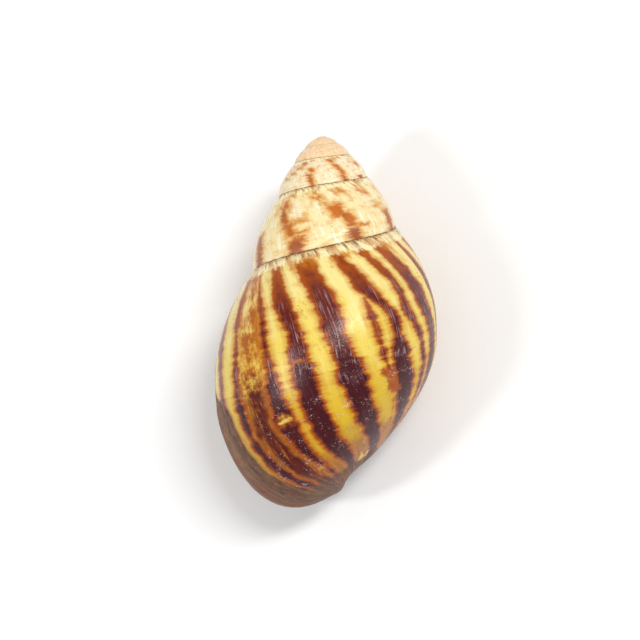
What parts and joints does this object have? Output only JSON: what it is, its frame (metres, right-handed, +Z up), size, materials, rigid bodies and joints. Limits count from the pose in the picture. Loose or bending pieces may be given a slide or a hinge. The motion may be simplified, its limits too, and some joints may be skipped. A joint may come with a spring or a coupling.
{
  "type": "land snail shell",
  "caption": "Empty right-handed shell of a large land snail, with a tall spire, a swollen last turn and an open mouth, lying mouth down.",
  "frame": {"origin": "on the floor under the middle of the shell's box, as it lies mouth down", "axes": "+Z up, +Y towards the tip, +X towards the right when the back is seen with the tip up"},
  "size_m": [0.0676, 0.1104, 0.059],
  "materials": {
    "shell": "glossy, striped"
  },
  "bodies": {
    "root": {"shell": "shell"}
  },
  "joints": []
}
